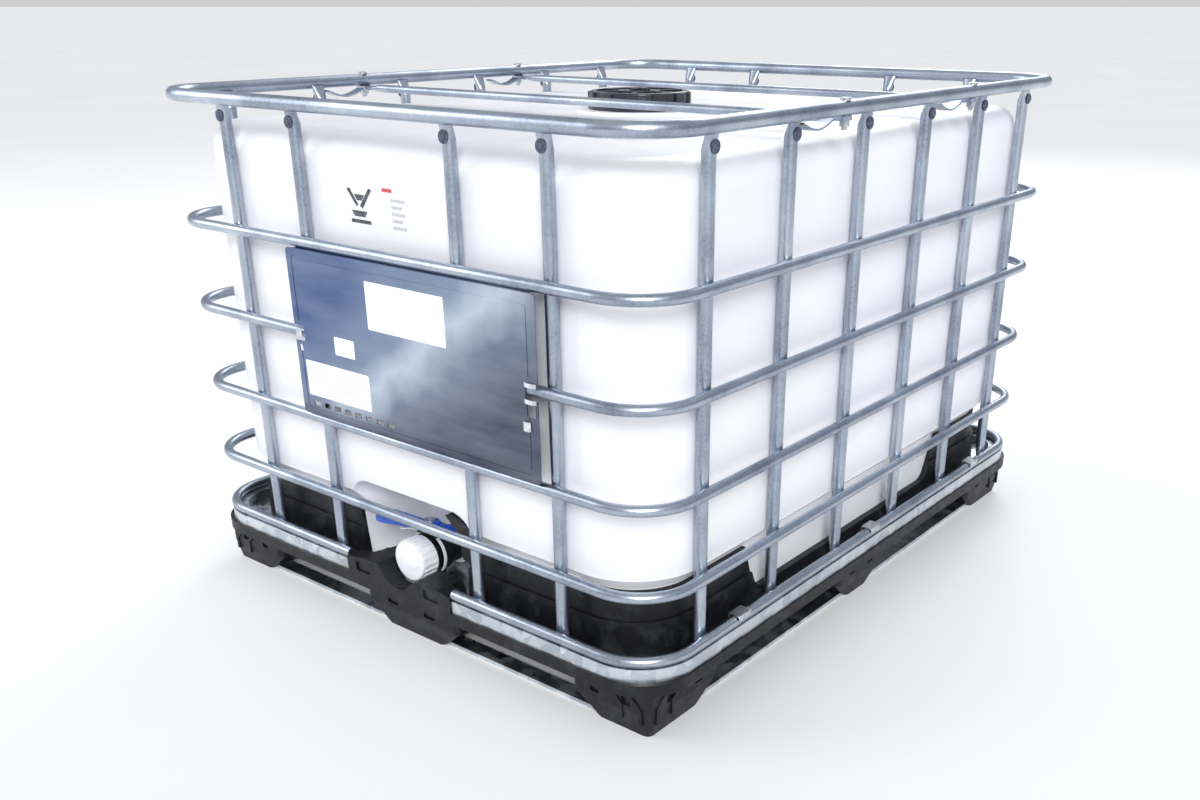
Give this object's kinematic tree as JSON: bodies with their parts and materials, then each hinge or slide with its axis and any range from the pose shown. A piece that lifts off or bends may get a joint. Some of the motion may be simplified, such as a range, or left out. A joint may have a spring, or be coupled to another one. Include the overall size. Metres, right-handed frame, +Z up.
{
  "type": "intermediate bulk container",
  "caption": "Intermediate bulk container: white plastic bottle in a galvanised tube cage on a four-way pallet, with screw fill cap, front sign plate and lever-operated outlet valve.",
  "frame": {"origin": "on the ground under the middle of the pallet", "axes": "+Z up, +Y along the 1200 mm depth away from the valve, +X along the 1000 mm width"},
  "size_m": [1, 1.2, 0.8],
  "materials": {
    "bottle_white": "satin",
    "cap_black": "gloss",
    "valve_white": "gloss",
    "lever_blue": "gloss",
    "seal_rubber": "matte",
    "label_paper": "satin",
    "sign_plate": "satin",
    "pallet_black": "matte",
    "valve_black": "satin",
    "hardware_zinc": "satin",
    "sheet_galvanised": "spangled",
    "tube_galvanised": "satin"
  },
  "bodies": {
    "container": {"bottle": "bottle_white", "bottle_tray": "pallet_black", "cage_bottom_rail": "tube_galvanised", "cage_clamps": "hardware_zinc", "cage_ring_1": "tube_galvanised", "cage_ring_2": "tube_galvanised", "cage_ring_3": "tube_galvanised", "cage_ring_4": "tube_galvanised", "cage_top_rim": "tube_galvanised", "centre_foot": "pallet_black", "corner_foot_front_left": "pallet_black", "corner_foot_front_right": "pallet_black", "corner_foot_rear_left": "pallet_black", "corner_foot_rear_right": "pallet_black", "crossbar_bolts": "hardware_zinc", "crossbars": "tube_galvanised", "deck_bolts": "hardware_zinc", "deck_plate": "sheet_galvanised", "fill_neck": "bottle_white", "ground_runners": "sheet_galvanised", "label_plate": "sign_plate", "middle_foot_front": "pallet_black", "middle_foot_left": "pallet_black", "middle_foot_rear": "pallet_black", "middle_foot_right": "pallet_black", "pallet_band": "sheet_galvanised", "pallet_base": "pallet_black", "plate_labels": "label_paper", "upright_front_1": "tube_galvanised", "upright_front_2": "tube_galvanised", "upright_front_3": "tube_galvanised", "upright_front_4": "tube_galvanised", "upright_left_1": "tube_galvanised", "upright_left_2": "tube_galvanised", "upright_left_3": "tube_galvanised", "upright_left_4": "tube_galvanised", "upright_left_5": "tube_galvanised", "upright_left_6": "tube_galvanised", "upright_rear_1": "tube_galvanised", "upright_rear_2": "tube_galvanised", "upright_rear_3": "tube_galvanised", "upright_rear_4": "tube_galvanised", "upright_right_1": "tube_galvanised", "upright_right_2": "tube_galvanised", "upright_right_3": "tube_galvanised", "upright_right_4": "tube_galvanised", "upright_right_5": "tube_galvanised", "upright_right_6": "tube_galvanised", "valve_body": "valve_black", "valve_guard": "pallet_black", "valve_nut": "valve_white"},
    "fill_cap": {"fill_cap": "cap_black"},
    "cap_lift": {"fill_cap_gasket": "seal_rubber"},
    "vent_plug": {"vent_plug": "cap_black"},
    "valve_lever": {"valve_lever": "lever_blue", "valve_stem": "hardware_zinc", "valve_disc": "valve_black", "lever_screw": "hardware_zinc"},
    "outlet_cap_travel": {"outlet_cap_seal": "seal_rubber"},
    "outlet_cap": {"outlet_cap": "valve_white"}
  },
  "joints": [
    {"name": "fill_cap_lift", "type": "slide", "parent": "container", "child": "cap_lift", "axis": [0, 0, 1], "range_m": [0, 0.024]},
    {"name": "fill_cap_turn", "type": "hinge", "parent": "cap_lift", "child": "fill_cap", "pos_m": [0, 0, 0.768], "axis": [0, 0, 1], "range_deg": [0, 1080]},
    {"name": "vent_plug_turn", "type": "hinge", "parent": "fill_cap", "child": "vent_plug", "pos_m": [0, 0, 0.782], "axis": [0, 0, 1], "range_deg": [0, 90]},
    {"name": "valve_lever_turn", "type": "hinge", "parent": "container", "child": "valve_lever", "pos_m": [0, -0.524, 0.15], "axis": [0, 0, 1], "range_deg": [0, 90]},
    {"name": "outlet_cap_slide", "type": "slide", "parent": "container", "child": "outlet_cap_travel", "axis": [0, -1, 0], "range_m": [0, 0.022]},
    {"name": "outlet_cap_turn", "type": "hinge", "parent": "outlet_cap_travel", "child": "outlet_cap", "pos_m": [0, -0.56, 0.127], "axis": [0, -1, 0], "range_deg": [0, 1440]}
  ],
  "couplings": [
    {"joint": "fill_cap_lift", "follows": "fill_cap_turn", "m_per_rad": 0.0012732},
    {"joint": "outlet_cap_slide", "follows": "outlet_cap_turn", "m_per_rad": 0.00087535}
  ]
}
